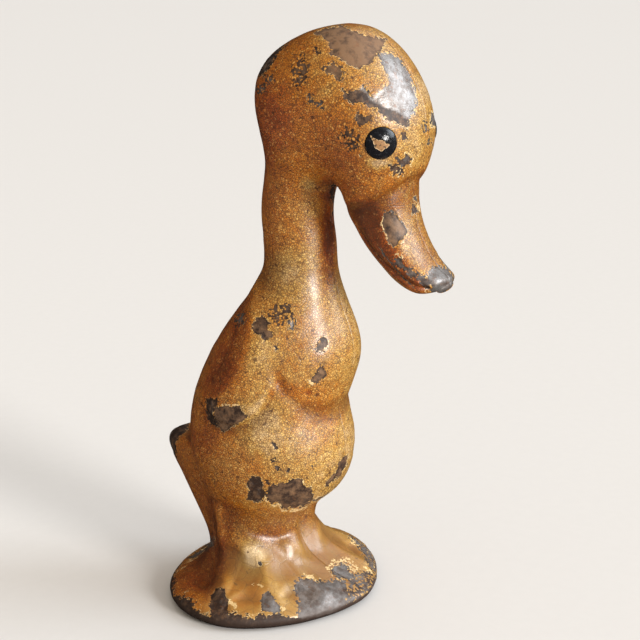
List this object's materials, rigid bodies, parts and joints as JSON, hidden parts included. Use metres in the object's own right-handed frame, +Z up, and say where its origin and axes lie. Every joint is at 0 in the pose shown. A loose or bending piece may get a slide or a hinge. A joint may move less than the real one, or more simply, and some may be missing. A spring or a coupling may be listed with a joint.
{
  "type": "cast iron duckling paperweight",
  "caption": "Upright duckling figure on a flared oval base, two hollow castings closed by a screw, used as a paperweight.",
  "frame": {"origin": "middle of the object's length and width, on the plane it stands on", "axes": "+Z up, the duckling faces -Y and its right side is at -X"},
  "size_m": [0.0558, 0.0676, 0.124],
  "materials": {
    "painted_casting": "aged ochre enamel with fine crackle, chipped to dark bare iron",
    "screw_steel": "dark, worn steel with traces of ochre enamel",
    "eye_black": "glossy black enamel"
  },
  "bodies": {
    "root": {"right_half_casting": "painted_casting", "left_half_casting": "painted_casting", "joining_screw": "screw_steel", "right_eye": "eye_black", "left_eye": "eye_black"}
  },
  "joints": []
}
